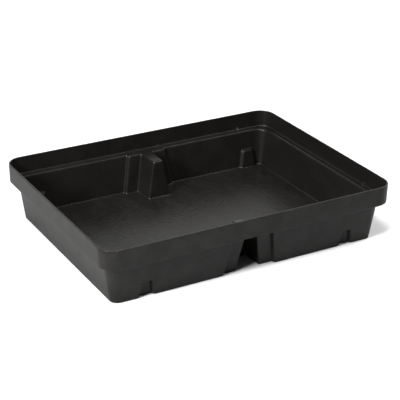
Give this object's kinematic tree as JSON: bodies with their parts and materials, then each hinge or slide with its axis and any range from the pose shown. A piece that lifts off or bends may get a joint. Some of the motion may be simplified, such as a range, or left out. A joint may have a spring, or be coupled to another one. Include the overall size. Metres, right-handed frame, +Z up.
{
  "type": "spill containment tray",
  "caption": "Shallow black plastic spill tray with an upright rim, an inner ledge for a grating and a drafted sump with hollow wall pillars.",
  "frame": {"origin": "the middle of the base, on the surface that the tray stands on", "axes": "+X along the tray's length, +Y across it towards the wall with the wider lugs, +Z up"},
  "size_m": [0.805, 0.605, 0.155],
  "materials": {
    "tray": "fine-grained semi-gloss black polyethylene"
  },
  "bodies": {
    "root": {"spill_tray": "tray"}
  },
  "joints": []
}
